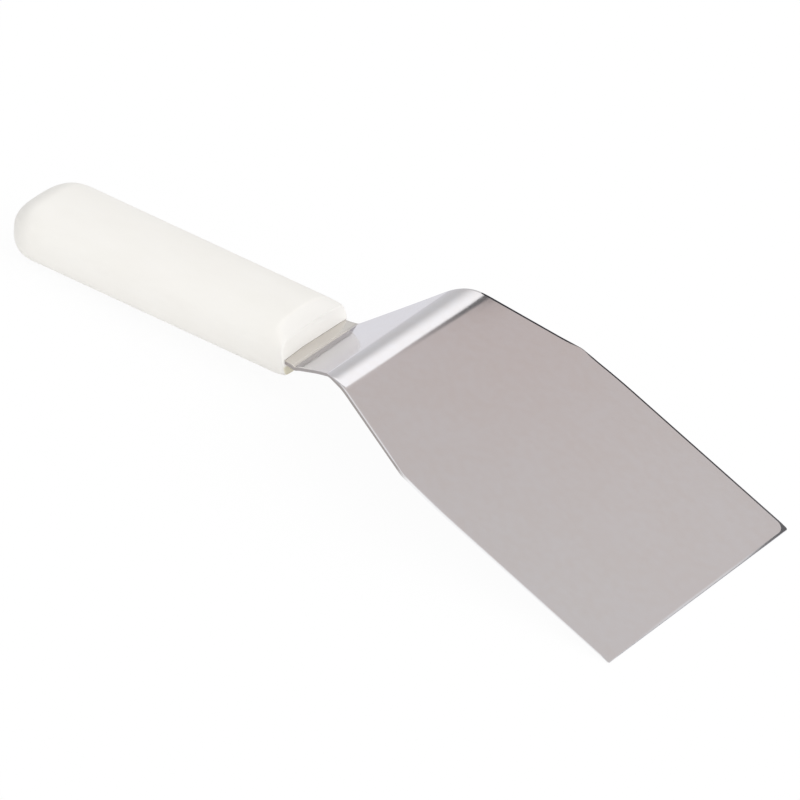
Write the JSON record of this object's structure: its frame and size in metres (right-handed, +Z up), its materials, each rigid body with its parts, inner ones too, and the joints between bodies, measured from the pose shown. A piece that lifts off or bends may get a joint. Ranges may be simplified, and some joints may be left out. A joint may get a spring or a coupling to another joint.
{
  "type": "griddle turner",
  "caption": "Offset griddle turner: broad stainless steel blade bent up from its tang, which is held in a moulded white plastic handle.",
  "frame": {"origin": "middle of the bounding box at the surface that the turner rests on, food side down", "axes": "+X level, from the handle's butt towards the blade's front edge; +Y across the blade; +Z up, out of the griddle side"},
  "size_m": [0.2828, 0.1016, 0.0392],
  "materials": {
    "stainless_steel": "satin, ground and polished",
    "white_plastic": "fine moulded surface"
  },
  "bodies": {
    "root": {"blade_with_tang": "stainless_steel", "handle": "white_plastic"}
  },
  "joints": []
}
